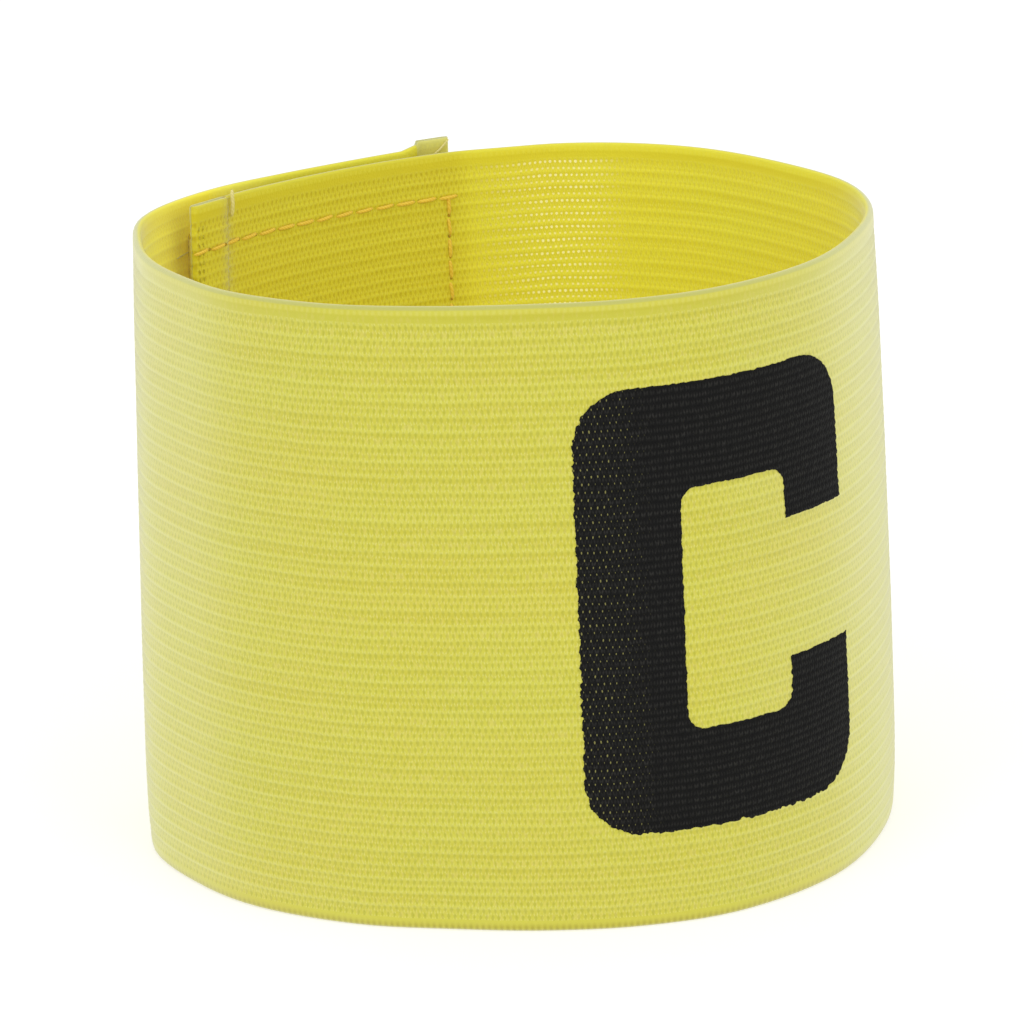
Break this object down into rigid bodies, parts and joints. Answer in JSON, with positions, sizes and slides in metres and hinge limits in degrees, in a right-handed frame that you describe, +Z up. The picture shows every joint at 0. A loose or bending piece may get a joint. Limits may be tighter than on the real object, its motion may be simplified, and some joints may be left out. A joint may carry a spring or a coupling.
{
  "type": "captain armband",
  "caption": "Wide yellow ribbed elastic strip closed into an oval loop by hook and loop tapes, with a printed black block C on the front, standing on its lower edge.",
  "frame": {"origin": "middle of the armband in plan, on the surface that it stands on", "axes": "+X along the longer side of the oval, to the right seen from the front; +Y from the front with the letter to the back; +Z up, along the arm"},
  "size_m": [0.1116, 0.1008, 0.0913],
  "materials": {
    "elastic": "ribbed knitted elastic, matt",
    "loop_tape": "soft brushed loops",
    "hook_tape": "fine stiff hooks",
    "print": "matt printed ink"
  },
  "bodies": {
    "root": {"elastic_band": "elastic", "loop_tape": "loop_tape", "hook_tape": "hook_tape", "captain_letter": "print"}
  },
  "joints": []
}
